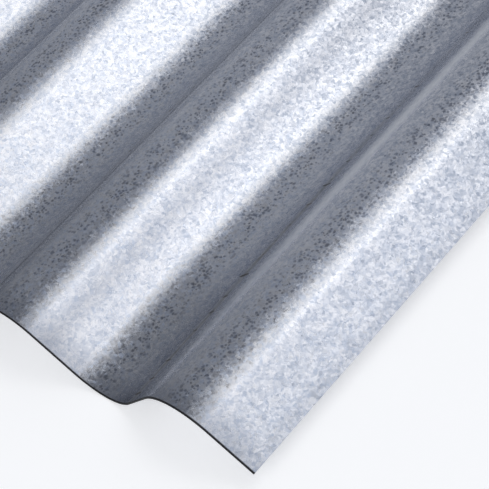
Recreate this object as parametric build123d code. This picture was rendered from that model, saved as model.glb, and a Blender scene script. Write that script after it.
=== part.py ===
from build123d import *
import os
from math import atan, ceil, cos, degrees, sin

# A corrugated roofing and cladding sheet of galvanised steel, rolled in one piece from flat strip.
# X runs across the waves, Y along them and Z up. The origin is under the middle of the sheet,
# on the level surface that its valleys rest on. All sizes are in millimetres.

# The wave, measured on the middle of the steel
wave_pitch = 76.2  # from crest to crest
wave_depth = 19.05  # from crest to valley
flank_flat = 16.6  # straight stretch of each flank, between the crest's bend and the valley's
wave_count = 8  # whole waves, from the first crest to the last

# The sheet
sheet_thickness = 0.5
sheet_length = 1828.8
edge_past_crest = 25.4  # both side edges are turned down, this far out from the outer crests

# The bends follow from the wave. A straight flank that touches two equal bends leaves them at
# this slope, whatever the pitch, depth and flat.
half_pitch = wave_pitch / 2
flank_angle = 2 * atan(wave_depth / (half_pitch + flank_flat))
bend_radius = (half_pitch - flank_flat * cos(flank_angle)) / (2 * sin(flank_angle))


def middle_of_steel():
    """The wave seen from the cut end, tangent all along, with spare waves past both side edges."""
    spare_waves = ceil(edge_past_crest / wave_pitch)
    crest_count = wave_count + 1 + 2 * spare_waves
    rise = degrees(flank_angle)
    end, heading = (-crest_count * half_pitch, 0), (1, 0)
    with BuildLine() as line:
        for crest in range(crest_count):
            for turn in (rise, -rise):  # from a valley up to the crest, and down again
                bend_in = JernArc(end, heading, bend_radius, turn)
                flank = PolarLine(bend_in @ 1, flank_flat, direction=bend_in % 1)
                bend_out = JernArc(flank @ 1, flank % 1, bend_radius, -turn)
                end, heading = bend_out @ 1, bend_out % 1
    return line.line


def slit_to_width(line):
    """The stretch of the wave between the two side edges."""
    half_width = wave_count * half_pitch + edge_past_crest
    line = split(line, bisect_by=Plane.YZ.offset(half_width), keep=Keep.BOTTOM)
    return split(line, bisect_by=Plane.YZ.offset(-half_width), keep=Keep.TOP)


def corrugated_sheet():
    """The steel's own thickness given to the wave, with side edges square to it, then its length."""
    section = trace(slit_to_width(middle_of_steel()), line_width=sheet_thickness)
    section = Plane.XZ.offset(-sheet_length / 2) * Pos(0, sheet_thickness / 2) * section
    return extrude(section, amount=sheet_length)


sheet = corrugated_sheet()
sheet.label = "corrugated_sheet"

os.makedirs("parts", exist_ok=True)
export_step(sheet, "parts/corrugated_sheet.step")

print("flank angle", round(degrees(flank_angle), 2), "degrees, bend radius", round(bend_radius, 2), "mm")
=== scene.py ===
from math import atan, cos, radians, sin

import bpy
import numpy as np
from mathutils import Matrix, Vector


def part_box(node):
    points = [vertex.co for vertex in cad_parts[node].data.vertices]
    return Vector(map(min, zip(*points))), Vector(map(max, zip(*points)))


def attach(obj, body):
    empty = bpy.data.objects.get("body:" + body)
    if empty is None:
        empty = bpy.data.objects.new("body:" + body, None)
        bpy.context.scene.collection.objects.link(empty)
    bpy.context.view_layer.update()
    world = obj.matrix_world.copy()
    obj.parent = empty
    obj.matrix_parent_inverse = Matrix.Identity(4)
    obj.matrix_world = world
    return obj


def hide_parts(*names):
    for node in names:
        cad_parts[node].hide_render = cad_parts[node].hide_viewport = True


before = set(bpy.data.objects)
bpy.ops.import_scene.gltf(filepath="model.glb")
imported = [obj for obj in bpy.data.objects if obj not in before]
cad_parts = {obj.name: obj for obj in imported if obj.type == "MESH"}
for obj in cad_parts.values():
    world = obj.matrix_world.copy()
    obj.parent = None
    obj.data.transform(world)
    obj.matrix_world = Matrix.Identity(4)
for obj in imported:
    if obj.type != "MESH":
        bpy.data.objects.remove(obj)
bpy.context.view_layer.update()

# Corrugated sheet
# Steel strip about half a millimetre thick, hot-dip galvanised in the coil, then rolled into
# waves in one pass. Each bend is an arc, and straight flanks join crest to valley. The strip is
# slit square to its faces and both side edges are turned down. Lengths are in metres.
low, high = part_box("corrugated_sheet")
wave_pitch = 0.0762
wave_count = 8
flank_flat = 0.0166
edge_past_crest = 0.0254
sheet_thickness = 0.0005
wave_depth = high.z - low.z - sheet_thickness
half_pitch = wave_pitch / 2
flank_angle = 2 * atan(wave_depth / (half_pitch + flank_flat))
bend_radius = (half_pitch - flank_flat * cos(flank_angle)) / (2 * sin(flank_angle))
bend_run = bend_radius * sin(flank_angle)

# The rolls left some valleys a little shallow, most of all the outer one on the right.
rng = np.random.default_rng(5)
slight_lift = 0.0005
outer_lift = 0.0016
valley_lifts = np.append(rng.uniform(0, slight_lift, wave_count - 2), [0.0, outer_lift])
lift_reach_left = 0.23 * wave_pitch
lift_reach_right = 0.44 * wave_pitch
lift_start = 0.05


def wave(x):
    """Height and slope angle of the middle of the steel at x, measured from a crest at x = 0.

    Within bend_run of a crest or valley the height follows a circle of bend_radius, and its slope
    is the arcsine of distance over radius. Between the two the flank is straight at flank_angle.
    """
    along = np.mod(x + half_pitch, wave_pitch) - half_pitch
    out = np.abs(along)
    from_valley = half_pitch - out
    near = np.minimum(np.minimum(out, from_valley), bend_run)
    slope = -np.sign(along) * np.arcsin(near / bend_radius)
    sag = bend_radius - np.sqrt(bend_radius**2 - near**2)
    bend_drop = bend_radius * (1 - cos(flank_angle))
    straight = bend_drop + (out - bend_run) * np.tan(flank_angle)
    height = np.where(out <= bend_run, -sag, np.where(from_valley <= bend_run, sag - wave_depth, -straight))
    return height + wave_depth / 2, slope


def sheet_stations(steps_per_bend=20, steps_per_flat=4, joint_strip=0.0003, edge_gap=0.0001):
    """Places across the sheet: even steps of turn round each bend and even steps on each flat.

    A flat's first and last stations lie joint_strip inside it, so its shading is flat right up to
    the bends. Only the cut itself lies within edge_gap of a side edge, and stations that agree to
    a tenth of a micron are one.
    """
    turn = np.linspace(-flank_angle, flank_angle, steps_per_bend + 1)
    bend = bend_radius * np.sin(turn)
    flat = np.linspace(bend_run, half_pitch - bend_run, steps_per_flat + 1)
    flat = np.concatenate([[flat[0] + joint_strip], flat[1:-1], [flat[-1] - joint_strip]])
    bends = np.arange(-wave_count - 1, wave_count + 2) * half_pitch
    x = np.concatenate([(bends[:, None] + bend).ravel(), (bends[:, None] + flat).ravel()])
    edge = wave_count * half_pitch + edge_past_crest
    return np.unique(np.concatenate([x[np.abs(x) < edge - edge_gap], [-edge, edge]]).round(7))


def length_stations(end_zone=0.08, steps_in_zone=10, steps_between=56):
    """Places along the sheet: even short steps within end_zone of each cut end, where the valleys'
    lift sets in, and even longer steps between."""
    from_end = np.linspace(0, end_zone, steps_in_zone + 1)
    between = np.linspace(low.y + end_zone, high.y - end_zone, steps_between + 1)
    return np.unique(np.concatenate([low.y + from_end, between, high.y - from_end]).round(7))


def valley_lift(x, y):
    """How far the steel rides above its true wave at (x, y), as a grid.

    Across the wave each valley's lift is a raised cosine that fades out lift_reach_left to its left
    and lift_reach_right to its right. Along the sheet it is a smooth step, nothing at both cut ends
    and whole from lift_start inwards.
    """
    centres = (np.arange(wave_count) - (wave_count - 1) / 2) * wave_pitch
    off = x[:, None] - centres
    off = np.clip(np.abs(off) / np.where(off < 0, lift_reach_left, lift_reach_right), 0, 1)
    across = (valley_lifts * (1 + np.cos(np.pi * off)) / 2).sum(1)
    inwards = np.clip((np.minimum(y - low.y, high.y - y) / lift_start), 0, 1)
    return across[:, None] * (inwards * inwards * (3 - 2 * inwards))[None, :]


def closed_sheet(x, y):
    """Corners of the sheet, as two skins half the thickness out from the middle of the steel, square
    to it, with a rim of quads that closes them along the four cut edges. Returns points, the skins'
    quads and the rim's quads."""
    height, slope = wave(x)
    middle = low.z + sheet_thickness / 2 + wave_depth / 2 + height
    lift = valley_lift(x, y)
    skins = []
    for side in (1, -1):
        across = x - side * sheet_thickness / 2 * np.sin(slope)
        up = middle + side * sheet_thickness / 2 * np.cos(slope)
        grid = np.empty((len(x), len(y), 3))
        grid[..., 0] = across[:, None]
        grid[..., 1] = y[None, :]
        grid[..., 2] = up[:, None] + lift
        skins.append(grid.reshape(-1, 3))
    index = np.arange(len(x) * len(y)).reshape(len(x), len(y))
    a, b, c, d = index[:-1, :-1], index[1:, :-1], index[1:, 1:], index[:-1, 1:]
    top = np.stack([a, b, c, d], -1).reshape(-1, 4)
    under = np.stack([d, c, b, a], -1).reshape(-1, 4) + index.size
    loop = np.concatenate([index[:-1, 0], index[-1, :-1], index[:0:-1, -1], index[0, :0:-1]])
    after = np.roll(loop, -1)
    rim = np.stack([after, loop, loop + index.size, after + index.size], -1)
    return np.concatenate(skins), np.concatenate([top, under]), rim


def mesh_object(name, points, faces):
    """A mesh object of quads, its place in its mesh."""
    mesh = bpy.data.meshes.new(name)
    mesh.from_pydata(points, [], faces)
    mesh.validate()
    thing = bpy.data.objects.new(name, mesh)
    bpy.context.scene.collection.objects.link(thing)
    return thing


points, skin_faces, rim_faces = closed_sheet(sheet_stations(), length_stations())
sheet = mesh_object("galvanised_sheet", points, np.concatenate([skin_faces, rim_faces]).tolist())
cut_edge_angle = radians(50)
sheet.data.shade_smooth()
sheet.data.set_sharp_from_angle(angle=cut_edge_angle)


def linear(hex_colour):
    """sRGB hex to linear RGBA: below 0.04045 divided by 12.92, above it a 2.4 power."""
    c = np.array([int(hex_colour[i:i + 2], 16) for i in (0, 2, 4)]) / 255
    c = np.where(c <= 0.04045, c / 12.92, ((c + 0.055) / 1.055) ** 2.4)
    return (*c, 1.0)


def new_material(name):
    """A material with an empty node tree, and the tree."""
    material = bpy.data.materials.new(name)
    material.use_nodes = True
    material.node_tree.nodes.clear()
    return material, material.node_tree


def add_node(tree, kind, inputs=(), **settings):
    """Adds a node, sets its properties, and sets or links its inputs, which are given in their order
    or by name or number. A node among them is linked from its first output in use."""
    node = tree.nodes.new("ShaderNode" + kind)
    for key, value in settings.items():
        setattr(node, key, value)
    for key, value in inputs.items() if isinstance(inputs, dict) else enumerate(inputs):
        if isinstance(value, bpy.types.Node):
            value = next(socket for socket in value.outputs if socket.enabled)
        if isinstance(value, bpy.types.NodeSocket):
            tree.links.new(value, node.inputs[key])
        else:
            node.inputs[key].default_value = value
    return node


# Hot-dip galvanised zinc, minimised spangle: crystals about a millimetre across with a finer grain
# among them, each at its own slight tilt and a little paler or duller than the next, under clouds
# of tone a few millimetres wide. So the sheet is mottled softly inside a highlight.
spangle_size = 0.0012
spangle_tilt = 0.022
spangle_warp = 1.6 * spangle_size
warps_per_spangle = 0.7
grain_size = 0.0008
grain_tilt = 0.032
cloud_size = 0.0045
spangle_tone, grain_tone, cloud_tone, tone_shift = 0.55, 0.65, 0.3, -0.25
zinc_pale, zinc_dull = linear("EAEAED"), linear("B3BAC7")
etch_smooth, etch_rough = 0.22, 0.28

galvanised, tree = new_material("hot_dip_galvanised_zinc")
place = add_node(tree, "TexCoord").outputs["Object"]
axes = add_node(tree, "SeparateXYZ", (place,))
x_here, y_here = axes.outputs["X"], axes.outputs["Y"]

# Where the strip was bent over a crest or valley the zinc is crazed. Each band of crazing has its
# place across the wave from a crest, and its reach. There the crystals lean further. A smooth
# Map Range of (distance, full, none, 1, 0) is one under full and falls to zero at none.
smooth = {"interpolation_type": "SMOOTHSTEP"}
craze_bands = ((0.0018, 0.0095), (-0.0418, 0.009))
bend_opening = 1.9
crazed = 0.0
for band_place, band_reach in craze_bands:
    past_band = add_node(tree, "Math", (x_here, band_place), operation="SUBTRACT")
    past_band = add_node(tree, "Math", (past_band, half_pitch, -half_pitch), operation="WRAP")
    off_band = add_node(tree, "Math", (past_band,), operation="ABSOLUTE")
    band = add_node(tree, "MapRange", (off_band, 0.0, band_reach, 1.0, 0.0), **smooth)
    crazed = add_node(tree, "Math", (band, crazed), operation="MAXIMUM")
opened = add_node(tree, "Math", (crazed, bend_opening, 1.0), operation="MULTIPLY_ADD")

warp = add_node(tree, "TexNoise", {"Vector": place, "Scale": warps_per_spangle / spangle_size, "Detail": 3.0})
warp_amount = add_node(tree, "VectorMath", (warp.outputs["Color"], (0.5,) * 3), operation="SUBTRACT")
warped = add_node(tree, "VectorMath", (warp_amount, (spangle_warp,) * 3, place), operation="MULTIPLY_ADD")
facing = add_node(tree, "NewGeometry").outputs["Normal"]
draws = []
for size, tilt in ((spangle_size, spangle_tilt), (grain_size, grain_tilt)):
    # A crystal's random colour, from minus one to one and cubed, is its lean: most lie nearly flat.
    crystal = add_node(tree, "TexVoronoi", {"Vector": warped, "Scale": 1 / size}, feature="F1")
    drawn = crystal.outputs["Color"]
    lean = add_node(tree, "VectorMath", (drawn, (2.0,) * 3, (-1.0,) * 3), operation="MULTIPLY_ADD")
    squared = add_node(tree, "VectorMath", (lean, lean), operation="MULTIPLY")
    cubed = add_node(tree, "VectorMath", (squared, lean), operation="MULTIPLY")
    amount = add_node(tree, "Math", (opened, tilt), operation="MULTIPLY")
    leaning = add_node(tree, "VectorMath", {0: cubed, "Scale": amount}, operation="SCALE")
    facing = add_node(tree, "VectorMath", (facing, leaning), operation="ADD")
    draws.append(add_node(tree, "SeparateColor", (drawn,)))
coarse, fine = draws
crystal_normal = add_node(tree, "VectorMath", (facing,), operation="NORMALIZE")
etch = add_node(tree, "MapRange", {"Value": fine, "To Min": etch_smooth, "To Max": etch_rough})
cloud = add_node(tree, "TexNoise", {"Vector": place, "Scale": 1 / cloud_size, "Detail": 2.0})
fine_part = add_node(tree, "Math", (fine.outputs["Green"], grain_tone), operation="MULTIPLY")
crystal_part = add_node(tree, "Math", (coarse.outputs["Green"], spangle_tone, fine_part),
                        operation="MULTIPLY_ADD")
cloud_part = add_node(tree, "Math", (cloud, cloud_tone, tone_shift), operation="MULTIPLY_ADD")
dullness = add_node(tree, "Math", (crystal_part, cloud_part), operation="ADD")
tone = add_node(tree, "Mix", {0: dullness, 6: zinc_pale, 7: zinc_dull}, data_type="RGBA")

# The crazing shows fine dark pits about a millimetre apart, in clusters a few millimetres wide.
# A pit's reach is a share of its cell, drawn for each one, and larger inside a cluster.
pit_size = 0.0011
pit_warp = 0.0012
pit_cluster = 0.0035
pit_strength = 0.7
draw_share, cluster_share, share_shift, least_share = 0.5, 0.7, -0.21, 0.02
pit_floor, pit_rim = 0.4, 1.2

pit_place = add_node(tree, "VectorMath", (warp_amount, (pit_warp,) * 3, place), operation="MULTIPLY_ADD")
pits = add_node(tree, "TexVoronoi", {"Vector": pit_place, "Scale": 1 / pit_size}, feature="F1")
pit_draw = add_node(tree, "SeparateColor", (pits.outputs["Color"],))
pit_crowd = add_node(tree, "TexNoise", {"Vector": place, "Scale": 1 / pit_cluster, "Detail": 2.0})
crowding = add_node(tree, "Math", (pit_crowd, cluster_share, share_shift), operation="MULTIPLY_ADD")
pit_reach = add_node(tree, "Math", (pit_draw, draw_share, crowding), operation="MULTIPLY_ADD")
pit_reach = add_node(tree, "Math", (pit_reach, least_share), operation="MAXIMUM")
to_pit = add_node(tree, "Math", (pits.outputs["Distance"], pit_reach), operation="DIVIDE")
in_pit = add_node(tree, "MapRange", (to_pit, pit_floor, pit_rim, 1.0, 0.0), **smooth)
pitting = add_node(tree, "Math", (crazed, pit_strength), operation="MULTIPLY")
pit = add_node(tree, "Math", (in_pit, pitting), operation="MULTIPLY")

# Handling marks, and painted shade along the cut ends. Dirt has settled in a thin line low on one
# flank of each valley. It wanders every 20 mm or so, lies in patches of a few millimetres and is
# darkest near the cut ends, with rust-brown specks strung along it. The zinc is scuffed along the cuts.
# The very edge of the cut ends is rolled over by the shears, and its shade is painted there nearly black.
dirt_line = -0.0263
dirt_drift = 0.0023
drift_ends, drift_starts = 0.03, 0.12
wander_reach = 0.001
wanders_per_metre = 45.0
dirt_core, dirt_reach = 0.0002, 0.0032
dirt_near_end, dirt_inside = 0.50, 0.08
patches_per_metre = 180.0
patch_strength = 2.0
near_cut, far_from_cut = 0.04, 0.16
speck_spacing = 0.0065
speck_radius = 0.0007
speck_least = 0.00003
speck_stretch = 0.2
speck_strength = 0.96
speck_core, speck_rim = 0.7, 1.3
speck_evenness = 0.8
speck_near_end, speck_inside = 0.6, 0.4
valley_shift = 0.37
cut_shade_full, cut_shade_none = 0.0003, 0.0007
scuff_from_end = 0.012
scuff_core, scuff_from_side = 0.001, 0.005
side_scuff = 0.5
scuff_strength = 0.45

from_cut = add_node(tree, "Math", (y_here,), operation="ABSOLUTE")
from_cut = add_node(tree, "Math", (high.y, from_cut), operation="SUBTRACT")
from_side = add_node(tree, "Math", (x_here,), operation="ABSOLUTE")
from_side = add_node(tree, "Math", (high.x, from_side), operation="SUBTRACT")
from_crest = add_node(tree, "Math", (x_here, half_pitch, -half_pitch), operation="WRAP")
near_end = add_node(tree, "MapRange", (from_cut, near_cut, far_from_cut, 1.0, 0.0), **smooth)

wander = add_node(tree, "TexNoise", {"Vector": place, "Scale": wanders_per_metre, "Detail": 1.0})
drift = add_node(tree, "MapRange", (from_cut, drift_ends, drift_starts, 1.0, 0.0), **smooth)
line_place = add_node(tree, "Math", (wander, 2 * wander_reach, dirt_line - wander_reach),
                      operation="MULTIPLY_ADD")
line_place = add_node(tree, "Math", (drift, dirt_drift, line_place), operation="MULTIPLY_ADD")
off_line = add_node(tree, "Math", (from_crest, line_place), operation="SUBTRACT")
off_line = add_node(tree, "Math", (off_line,), operation="ABSOLUTE")
on_line = add_node(tree, "MapRange", (off_line, dirt_core, dirt_reach, 1.0, 0.0), **smooth)
dirt_strength = add_node(tree, "Math", (near_end, dirt_near_end, dirt_inside), operation="MULTIPLY_ADD")
patchy = add_node(tree, "TexNoise", {"Vector": place, "Scale": patches_per_metre, "Detail": 2.0})
patchiness = add_node(tree, "Math", (patchy, patch_strength), operation="MULTIPLY")
dirt = add_node(tree, "Math", (on_line, dirt_strength), operation="MULTIPLY")
dirt = add_node(tree, "Math", (dirt, patchiness), operation="MULTIPLY")

which_valley = add_node(tree, "Math", (x_here, wave_pitch), operation="DIVIDE")
which_valley = add_node(tree, "Math", (which_valley,), operation="FLOOR")
along_line = add_node(tree, "Math", (which_valley, valley_shift, y_here), operation="MULTIPLY_ADD")
speck = add_node(tree, "TexVoronoi", {"W": along_line, "Scale": 1 / speck_spacing},
                 feature="F1", voronoi_dimensions="1D")
speck_draw = add_node(tree, "SeparateColor", (speck.outputs["Color"],))
speck_reach = add_node(tree, "Math", (speck_draw, speck_evenness), operation="POWER")
speck_reach = add_node(tree, "Math", (speck_reach, speck_radius), operation="MULTIPLY")
speck_growth = add_node(tree, "Math", (near_end, speck_near_end, speck_inside), operation="MULTIPLY_ADD")
speck_reach = add_node(tree, "Math", (speck_reach, speck_growth), operation="MULTIPLY")
speck_reach = add_node(tree, "Math", (speck_reach, speck_least), operation="MAXIMUM")
along_speck = add_node(tree, "Math", (speck.outputs["Distance"], speck_spacing), operation="MULTIPLY")
along_speck = add_node(tree, "Math", (along_speck, 2.0), operation="POWER")
across_speck = add_node(tree, "Math", (off_line, speck_stretch), operation="MULTIPLY")
across_speck = add_node(tree, "Math", (across_speck, 2.0), operation="POWER")
to_speck = add_node(tree, "Math", (along_speck, across_speck), operation="ADD")
to_speck = add_node(tree, "Math", (to_speck,), operation="SQRT")
to_speck = add_node(tree, "Math", (to_speck, speck_reach), operation="DIVIDE")
in_speck = add_node(tree, "MapRange", (to_speck, speck_core, speck_rim, 1.0, 0.0), **smooth)
specked = add_node(tree, "Math", (in_speck, speck_strength), operation="MULTIPLY")

# Painted shade: a nearly black strip along the very edge of each cut end, for the shade of the shears'
# roll-over.
cut_end_painted_shade = add_node(tree, "MapRange", (from_cut, cut_shade_full, cut_shade_none, 1.0, 0.0), **smooth)
dirt_and_cut_shade = add_node(tree, "Math", (dirt, specked), operation="MAXIMUM")
dirt_and_cut_shade = add_node(tree, "Math", (dirt_and_cut_shade, cut_end_painted_shade), operation="MAXIMUM")
end_scuffed = add_node(tree, "MapRange", (from_cut, 0.0, scuff_from_end, 1.0, 0.0), **smooth)
side_scuffed = add_node(tree, "MapRange", (from_side, scuff_core, scuff_from_side, 1.0, 0.0), **smooth)
side_scuffed = add_node(tree, "Math", (side_scuffed, side_scuff), operation="MULTIPLY")
scuffed = add_node(tree, "Math", (end_scuffed, side_scuffed), operation="MAXIMUM")
scuffed = add_node(tree, "Math", (scuffed, scuff_strength), operation="MULTIPLY")


def painted_light_strips(strips):
    """The strongest of several strips of painted light on the zinc, each given as (x, centre,
    inner_reach, outer_reach, strength): strength on the line x = centre along the sheet, fading smoothly
    to nothing inner_reach before it and outer_reach past it. Mixed with a pale colour a strip is a
    painted highlight, and with a grey one it is painted shade."""
    strongest = 0.0
    for x, centre, inner_reach, outer_reach, strength in strips:
        past = add_node(tree, "Math", (x, centre), operation="SUBTRACT")
        before = add_node(tree, "Math", (past, -1.0), operation="MULTIPLY")
        painted_strip = strength
        for side, reach in ((past, outer_reach), (before, inner_reach)):
            fade = add_node(tree, "MapRange", (side, 0.0, reach, 1.0, 0.0), **smooth)
            painted_strip = add_node(tree, "Math", (fade, painted_strip), operation="MULTIPLY")
        strongest = add_node(tree, "Math", (painted_strip, strongest), operation="MAXIMUM")
    return strongest


# Painted light on the zinc: strips of colour that give the bands of light what the soft boxes alone
# leave out. A pale painted highlight lies high on the outer wave's rising flank, weaker at the cut
# ends, and faintly on the next wave. Painted shade darkens the rising flanks of the inner waves, and
# three faint strips: two on the second wave and one on the outer flank.
painted_highlight_whole = 0.74
painted_highlight_lost_at_cut = -0.66
painted_highlight_starts = 0.11
next_painted_highlight = 0.12
inner_waves_end, inner_waves_past = 0.255, 0.270
near_painted_highlight_cut = add_node(tree, "MapRange", (from_cut, 0.0, painted_highlight_starts, 1.0, 0.0), **smooth)
outer_painted_highlight = add_node(tree, "Math", (near_painted_highlight_cut, painted_highlight_lost_at_cut, painted_highlight_whole),
                       operation="MULTIPLY_ADD")
inner_waves = add_node(tree, "MapRange", (x_here, inner_waves_end, inner_waves_past, 1.0, 0.0), **smooth)
# Painted highlight: pale strips on the outer wave's rising flank and faintly on the next wave.
painted_highlight = painted_light_strips(((x_here, 0.2932, 0.0095, 0.0042, outer_painted_highlight),
               (x_here, 0.1995, 0.0090, 0.0120, next_painted_highlight)))
# Painted shade: the inner waves' rising flanks and three faint strips.
painted_shade = painted_light_strips(((from_crest, -0.0114, 0.0082, 0.0075, inner_waves),
              (x_here, 0.2454, 0.0046, 0.0046, 0.22),
              (x_here, 0.2350, 0.0040, 0.0040, 0.24),
              (x_here, 0.3215, 0.0130, 0.0130, 0.08)))

zinc = tone
# Over the crystals' tone go the dark pits, a painted highlight (ECEEF2), painted shade (6E727D) and the
# scuffing.
for mark_or_painted_light, colour in ((pit, "585E6E"), (painted_highlight, "ECEEF2"), (painted_shade, "6E727D"), (scuffed, "7E838F")):
    zinc = add_node(tree, "Mix", {0: mark_or_painted_light, 6: zinc, 7: linear(colour)}, data_type="RGBA")
dirt_and_cut_shade_colour = add_node(tree, "Mix", {0: speck_draw.outputs["Green"], 6: linear("232122"),
                                     7: linear("43352C")}, data_type="RGBA")
# Along the very edge of the cut ends the colour is painted shade, nearly black.
dirt_and_cut_shade_colour = add_node(tree, "Mix", {0: cut_end_painted_shade, 6: dirt_and_cut_shade_colour, 7: linear("0E0F13")}, data_type="RGBA")
zinc = add_node(tree, "Mix", {0: dirt_and_cut_shade, 6: zinc, 7: dirt_and_cut_shade_colour}, data_type="RGBA")

# Dirt, the painted shade along the cut ends and the painted highlight are less metallic than the zinc, and
# rougher.
dirt_and_shade_metal = -0.8
dirt_and_painted_light_roughness = 0.35
metallic = add_node(tree, "Math", (dirt_and_cut_shade, dirt_and_shade_metal, 1.0), operation="MULTIPLY_ADD")
metallic = add_node(tree, "Math", (metallic, painted_highlight), operation="SUBTRACT")
metallic = add_node(tree, "Math", (metallic, 0.0), operation="MAXIMUM")
dirt_and_painted_light = add_node(tree, "Math", (dirt_and_cut_shade, painted_highlight), operation="MAXIMUM")
roughness = add_node(tree, "Math", (dirt_and_painted_light, dirt_and_painted_light_roughness, etch), operation="MULTIPLY_ADD")
surface = add_node(tree, "BsdfPrincipled",
                   {"Base Color": zinc, "Metallic": metallic, "Roughness": roughness,
                    "Normal": crystal_normal})
add_node(tree, "OutputMaterial", (surface,))
sheet.data.materials.append(galvanised)

# Cut edges: the strip's own steel, bare where the shears went through it and dull. Its colour is painted
# nearly black, for the shade these narrow faces show.
sheared, tree = new_material("sheared_steel")
surface = add_node(tree, "BsdfPrincipled",
                   {"Base Color": linear("17181C"), "Metallic": 1.0, "Roughness": 0.6})
add_node(tree, "OutputMaterial", (surface,))
sheet.data.materials.append(sheared)
cut = np.zeros(len(sheet.data.polygons), np.int32)
cut[-len(rim_faces):] = 1
sheet.data.polygons.foreach_set("material_index", cut)

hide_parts("corrugated_sheet")
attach(sheet, "root")

# Floor
# A plain white studio floor that keeps the sheet's soft shadow. To the camera and in reflections it
# also glows a little, so that it shows nearly white there.
floor_half = 30.0
floor_glow = 0.45
corners = [(x * floor_half, y * floor_half, low.z) for x, y in ((-1, -1), (1, -1), (1, 1), (-1, 1))]
floor = mesh_object("floor", corners, [(0, 1, 2, 3)])
white_floor, tree = new_material("white_studio_floor")
surface = add_node(tree, "BsdfDiffuse", {"Color": linear("F4F4F4")})
rays = add_node(tree, "LightPath").outputs
seen = add_node(tree, "Math", (rays["Is Camera Ray"], rays["Is Glossy Ray"]), operation="MAXIMUM")
seen = add_node(tree, "Math", (seen, rays["Is Transmission Ray"]), operation="MAXIMUM")
glow_strength = add_node(tree, "Math", (seen, floor_glow), operation="MULTIPLY")
glow = add_node(tree, "Emission", {"Color": linear("FFFFFF"), "Strength": glow_strength})
surface = add_node(tree, "AddShader", (surface, glow))
add_node(tree, "OutputMaterial", (surface,))
floor.data.materials.append(white_floor)

# Light
# Five soft boxes: one over the far end of the sheet, two long ones low on its right, a narrow one
# left of overhead and a broad one behind the camera. All angles are seen from the sheet's near
# corner.
near_corner = Vector((high.x, low.y, low.z))


def soft_box(name, across, along, distance, size, radiance, colour):
    """A rectangular area lamp that faces the near corner. From overhead its direction swings across
    degrees to the right, then along degrees towards the sheet's far end."""
    lamp = bpy.data.lights.new(name, "AREA")
    lamp.shape = "RECTANGLE"
    lamp.size, lamp.size_y = size
    lamp.energy = radiance * size[0] * size[1] * np.pi
    lamp.color = linear(colour)[:3]
    thing = bpy.data.objects.new(name, lamp)
    thing.matrix_world = (Matrix.Translation(near_corner) @ Matrix.Rotation(radians(across), 4, "Y")
                          @ Matrix.Rotation(radians(-along), 4, "X") @ Matrix.Translation((0, 0, distance)))
    bpy.context.scene.collection.objects.link(thing)


soft_box("far_box", 10.9, 26.3, 6.0, (2.53, 2.43), 1.0, "FFFEFB")
soft_box("low_box", 27.7, 7.0, 6.0, (1.99, 5.40), 0.78, "FBFCFF")
soft_box("side_box", 40.0, 18.8, 6.0, (1.21, 5.31), 0.61, "F6FAFF")
soft_box("strip_box", -10.5, 25.4, 6.0, (0.95, 1.70), 0.47, "F6F9FF")
soft_box("camera_side_box", 8.0, -49.0, 8.0, (6.0, 5.0), 1.5, "FFFFFF")

# The room: cool grey walls, at levels of light that run from behind the camera, past overhead and
# up a lighter band, to the far wall.
wall_tint = (0.955, 1.0, 1.11)
walls_between = ((0.12, 0.167), (0.25, 0.204), (0.40, 0.43), (0.60, 0.34))
near_wall = (0.26, 0.275, 0.305, 1)
far_wall = (0.34, 0.36, 0.40, 1)
far_wall_place = 0.9
world = bpy.data.worlds.new("studio_room")
world.use_nodes = True
tree = world.node_tree
direction = add_node(tree, "TexCoord").outputs["Generated"]
toward_far_end = add_node(tree, "SeparateXYZ", (direction,)).outputs["Y"]
wall = add_node(tree, "ValToRGB", (toward_far_end,))
wall.color_ramp.elements[1].position = far_wall_place
for wall_place, level in walls_between:
    wall.color_ramp.elements.new(wall_place).color = (*(level * tint for tint in wall_tint), 1)
wall.color_ramp.elements[0].color = near_wall
wall.color_ramp.elements[-1].color = far_wall
tree.links.new(wall.outputs["Color"], tree.nodes["Background"].inputs["Color"])
bpy.context.scene.world = world

# Camera
# It looks down along the waves' cut end on the sheet's near corner, rolled as the picture is.
view_azimuth = radians(62.105)
view_elevation = radians(41.523)
view_roll = radians(-27.579)
view_place = Vector((0.61988, -1.03882, 0.35548))
focal_pixels = 1795.1
picture_pixels = 489
camera = bpy.data.objects.new("camera", bpy.data.cameras.new("camera"))
camera.data.sensor_width = 36.0
camera.data.lens = camera.data.sensor_width * focal_pixels / picture_pixels
camera.data.clip_start = 0.01
camera.matrix_world = (Matrix.Translation(view_place) @ Matrix.Rotation(view_azimuth, 4, "Z")
                       @ Matrix.Rotation(radians(90) - view_elevation, 4, "X")
                       @ Matrix.Rotation(view_roll, 4, "Z"))
bpy.context.scene.collection.objects.link(camera)
bpy.context.scene.camera = camera
bpy.context.scene.view_settings.view_transform = "Standard"
